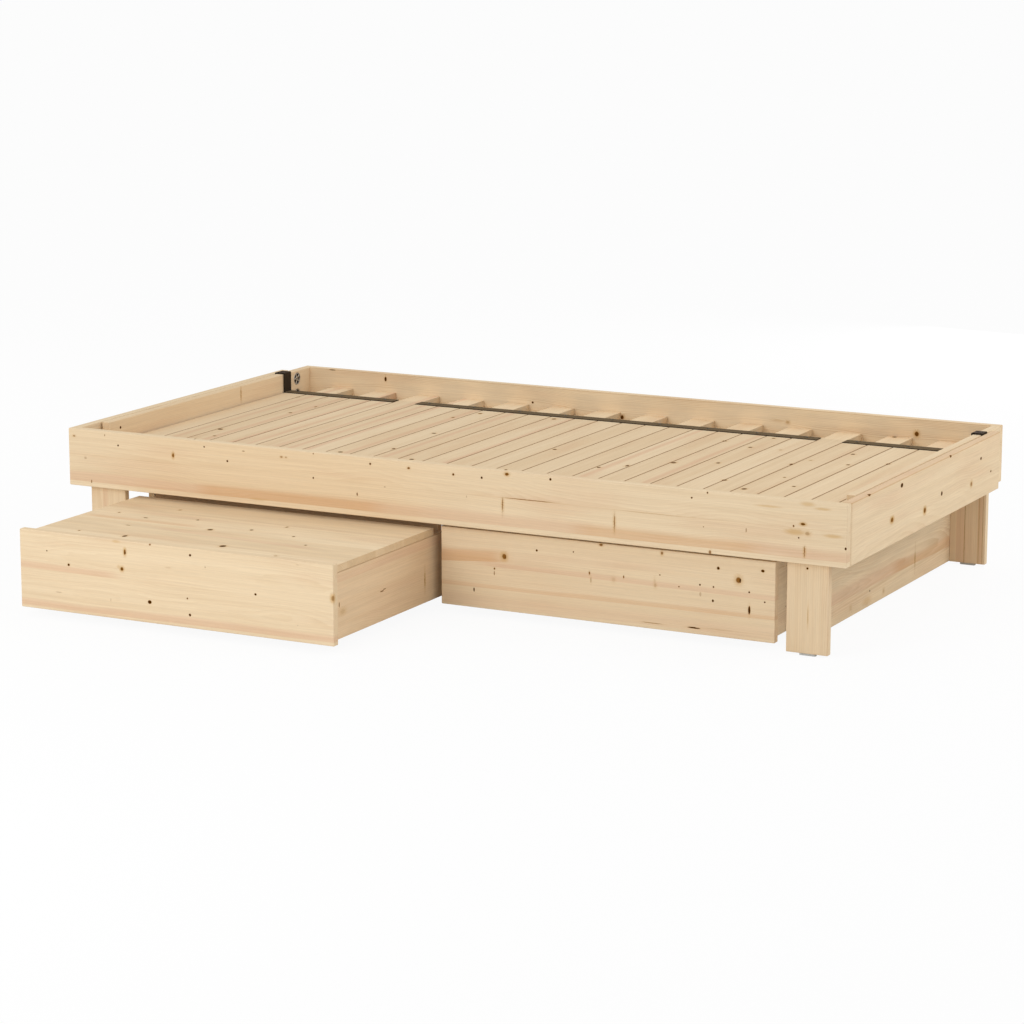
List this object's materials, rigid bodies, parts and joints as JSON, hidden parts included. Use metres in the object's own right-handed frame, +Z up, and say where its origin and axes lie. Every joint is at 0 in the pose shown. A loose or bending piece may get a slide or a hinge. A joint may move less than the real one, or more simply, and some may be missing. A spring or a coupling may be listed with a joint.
{
  "type": "extendable bed",
  "caption": "Low slatted bed of plain pine whose front half pulls out to widen it, with lidded drawers on castors under it.",
  "frame": {"origin": "on the floor under the middle of the box of the bed as it stands, left drawer out", "axes": "+X along the length to the right seen from the front, +Y to the back, +Z up; the front faces -Y"},
  "size_m": [2.11, 1.598, 0.369],
  "materials": {
    "pine_frame": "planed, untreated",
    "pine_slats": "planed, untreated",
    "pine_drawers": "planed, untreated",
    "drawer_plywood": "sanded plywood",
    "black_steel": "satin black",
    "zinc_fittings": "zinc plated",
    "felt_pads": "pressed felt",
    "castor_steel": "zinc plated",
    "castor_wheels": "moulded nylon"
  },
  "bodies": {
    "fixed_frame": {"back_board": "pine_frame", "back_cam_locks": "zinc_fittings", "end_panel_left": "pine_frame", "end_panel_right": "pine_frame", "fixed_foot_pads": "felt_pads", "fixed_slat_01": "pine_slats", "fixed_slat_02": "pine_slats", "fixed_slat_03": "pine_slats", "fixed_slat_04": "pine_slats", "fixed_slat_05": "pine_slats", "fixed_slat_06": "pine_slats", "fixed_slat_07": "pine_slats", "fixed_slat_08": "pine_slats", "fixed_slat_09": "pine_slats", "fixed_slat_10": "pine_slats", "fixed_slat_11": "pine_slats", "fixed_slat_12": "pine_slats", "fixed_slat_13": "pine_slats", "fixed_slat_14": "pine_slats", "front_cross_rail": "pine_frame", "inner_end_board_left": "pine_frame", "inner_end_board_right": "pine_frame", "middle_cross_rail": "pine_frame", "rear_cross_rail": "pine_frame", "rear_leg_left": "pine_frame", "rear_leg_right": "pine_frame"},
    "pull_out_frame": {"front_board": "pine_frame", "front_cam_locks": "zinc_fittings", "front_foot_pads": "felt_pads", "front_leg_left": "pine_frame", "front_leg_right": "pine_frame", "front_slat_ledger": "pine_frame", "moving_slats_left": "pine_slats", "moving_slats_middle": "pine_slats", "moving_slats_right": "pine_slats", "outer_end_board_left": "pine_frame", "outer_end_board_right": "pine_frame", "tie_bar_left": "black_steel", "tie_bar_middle": "black_steel", "tie_bar_right": "black_steel", "tie_bar_screws": "black_steel"},
    "drawer_left": {"drawer_left_back": "pine_drawers", "drawer_left_bottom": "drawer_plywood", "drawer_left_castor_forks": "castor_steel", "drawer_left_front": "pine_drawers", "drawer_left_inner_side": "pine_drawers", "drawer_left_lid": "pine_drawers", "drawer_left_outer_side": "pine_drawers"},
    "drawer_right": {"drawer_right_back": "pine_drawers", "drawer_right_bottom": "drawer_plywood", "drawer_right_castor_forks": "castor_steel", "drawer_right_front": "pine_drawers", "drawer_right_inner_side": "pine_drawers", "drawer_right_lid": "pine_drawers", "drawer_right_outer_side": "pine_drawers"},
    "drawer_left_front_wheels": {"drawer_left_front_wheels": "castor_wheels"},
    "drawer_left_rear_wheels": {"drawer_left_rear_wheels": "castor_wheels"},
    "drawer_right_front_wheels": {"drawer_right_front_wheels": "castor_wheels"},
    "drawer_right_rear_wheels": {"drawer_right_rear_wheels": "castor_wheels"}
  },
  "joints": [
    {"name": "pull_out", "type": "slide", "parent": "fixed_frame", "child": "pull_out_frame", "axis": [0, -1, 0], "range_m": [0, 0.53]},
    {"name": "drawer_left_slide", "type": "slide", "parent": "fixed_frame", "child": "drawer_left", "axis": [0, -1, 0], "range_m": [-0.49, 0.11]},
    {"name": "drawer_right_slide", "type": "slide", "parent": "fixed_frame", "child": "drawer_right", "axis": [0, -1, 0], "range_m": [0, 0.6]},
    {"name": "drawer_left_front_wheels_roll", "type": "hinge", "parent": "drawer_left", "child": "drawer_left_front_wheels", "pos_m": [0, -0.659, 0.014], "axis": [1, 0, 0], "range_deg": [-2010.35, 455.18]},
    {"name": "drawer_left_rear_wheels_roll", "type": "hinge", "parent": "drawer_left", "child": "drawer_left_rear_wheels", "pos_m": [0, -0.359, 0.014], "axis": [1, 0, 0], "range_deg": [-2010.35, 455.18]},
    {"name": "drawer_right_front_wheels_roll", "type": "hinge", "parent": "drawer_right", "child": "drawer_right_front_wheels", "pos_m": [0, -0.169, 0.014], "axis": [1, 0, 0], "range_deg": [-5, 2460.53]},
    {"name": "drawer_right_rear_wheels_roll", "type": "hinge", "parent": "drawer_right", "child": "drawer_right_rear_wheels", "pos_m": [0, 0.131, 0.014], "axis": [1, 0, 0], "range_deg": [-5, 2460.53]}
  ],
  "couplings": [
    {"joint": "drawer_left_front_wheels_roll", "follows": "drawer_left_slide", "rad_per_m": 71.429},
    {"joint": "drawer_left_rear_wheels_roll", "follows": "drawer_left_slide", "rad_per_m": 71.429},
    {"joint": "drawer_right_front_wheels_roll", "follows": "drawer_right_slide", "rad_per_m": 71.429},
    {"joint": "drawer_right_rear_wheels_roll", "follows": "drawer_right_slide", "rad_per_m": 71.429}
  ]
}
